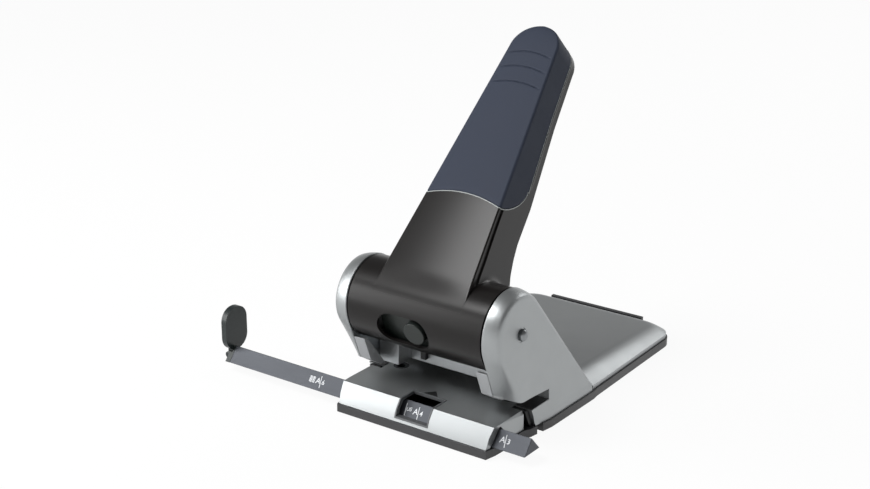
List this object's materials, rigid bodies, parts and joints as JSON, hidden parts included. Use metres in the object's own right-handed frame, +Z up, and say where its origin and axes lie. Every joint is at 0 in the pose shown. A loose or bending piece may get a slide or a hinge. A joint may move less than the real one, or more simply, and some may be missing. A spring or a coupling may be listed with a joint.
{
  "type": "two-hole lever punch",
  "caption": "Heavy-duty desk punch for two holes: long lever on a drum between silver cheeks, sliding paper guide bar and chip tray.",
  "frame": {"origin": "on the table, midway between the two holes", "axes": "+X to the right along the guide bar, +Y from the front edge to the rear, +Z up"},
  "size_m": [0.2301, 0.2171, 0.2192],
  "materials": {
    "frame_plastic": "moulded black plastic, slightly glossy",
    "rubber_foot": "matt grey rubber",
    "plate_steel": "zinc-plated sheet steel",
    "silver_casting": "satin silver lacquer on die-cast metal",
    "window_trim": "dark grey moulded plastic",
    "black_trim": "black moulded plastic",
    "tool_steel": "ground tool steel",
    "guide_metal": "satin silver metal",
    "bright_steel": "bright turned steel",
    "spring_steel": "drawn spring steel",
    "gloss_black": "high-gloss black moulding",
    "matt_black": "matt black moulding",
    "soft_grip": "soft slate-blue grip, smooth matt",
    "bar_aluminium": "grey anodised extrusion with white size marks",
    "flag_plastic": "near-black green-grey moulded plastic"
  },
  "bodies": {
    "base": {"bottom_frame": "frame_plastic", "rubber_feet": "rubber_foot", "base_plate": "plate_steel", "side_frame_left": "plate_steel", "side_frame_right": "plate_steel", "arm_rib_left": "silver_casting", "arm_rib_right": "silver_casting", "front_platform": "silver_casting", "window_frame": "window_trim", "centre_pointer": "black_trim", "die_left": "tool_steel", "die_right": "tool_steel", "groove_strip_left": "black_trim", "groove_strip_right": "black_trim", "cheek_left": "silver_casting", "cheek_right": "silver_casting", "rear_cover": "silver_casting", "paper_stop": "black_trim", "punch_guide_left": "guide_metal", "punch_guide_right": "guide_metal", "bridge_plate": "guide_metal", "lock_catch": "black_trim", "axle": "bright_steel", "axle_clips": "bright_steel", "bar_detents": "spring_steel", "base_screws": "bright_steel", "return_spring_left": "spring_steel", "return_spring_right": "spring_steel"},
    "lever": {"drum_shell": "gloss_black", "drum_end_left": "matt_black", "drum_end_right": "matt_black", "hub_tube": "plate_steel", "cam_left": "tool_steel", "cam_right": "tool_steel", "lever_core": "plate_steel", "neck_shell": "gloss_black", "grip": "soft_grip", "lever_underside": "matt_black", "lever_screws": "bright_steel"},
    "lock": {"lock_slider": "matt_black"},
    "left_punch": {"punch_left": "tool_steel"},
    "right_punch": {"punch_right": "tool_steel"},
    "bar": {"guide_bar": "bar_aluminium", "flag_bracket": "flag_plastic", "flag_pin": "bright_steel"},
    "flag": {"stop_flag": "flag_plastic"},
    "tray": {"chip_tray": "frame_plastic", "tray_pad": "rubber_foot"}
  },
  "joints": [
    {"name": "lever_press", "type": "hinge", "parent": "base", "child": "lever", "pos_m": [0, -0.0178, 0.0692], "axis": [-1, 0, 0], "range_deg": [0, 43], "stiffness_Nm_per_rad": 0.45, "springref_deg": -57.3},
    {"name": "left_punch_drop", "type": "slide", "parent": "base", "child": "left_punch", "axis": [0, 0, -1], "range_m": [0, 0.0134], "deforming": ["return_spring_left"]},
    {"name": "right_punch_drop", "type": "slide", "parent": "base", "child": "right_punch", "axis": [0, 0, -1], "range_m": [0, 0.0134], "deforming": ["return_spring_right"]},
    {"name": "bar_slide", "type": "slide", "parent": "base", "child": "bar", "axis": [1, 0, 0], "range_m": [-0.0615, 0.08]},
    {"name": "flag_fold", "type": "hinge", "parent": "bar", "child": "flag", "pos_m": [-0.151, -0.032, 0.0096], "axis": [0, -1, 0], "range_deg": [0, 90]},
    {"name": "tray_open", "type": "hinge", "parent": "base", "child": "tray", "pos_m": [0, -0.017, 0.0032], "axis": [-1, 0, 0], "range_deg": [0, 70]},
    {"name": "lock_slide", "type": "slide", "parent": "lever", "child": "lock", "axis": [-1, 0, 0], "range_m": [0, 0.016]}
  ],
  "couplings": [
    {"joint": "left_punch_drop", "follows": "lever_press", "m_per_rad": 0.0178},
    {"joint": "right_punch_drop", "follows": "lever_press", "m_per_rad": 0.0178}
  ]
}
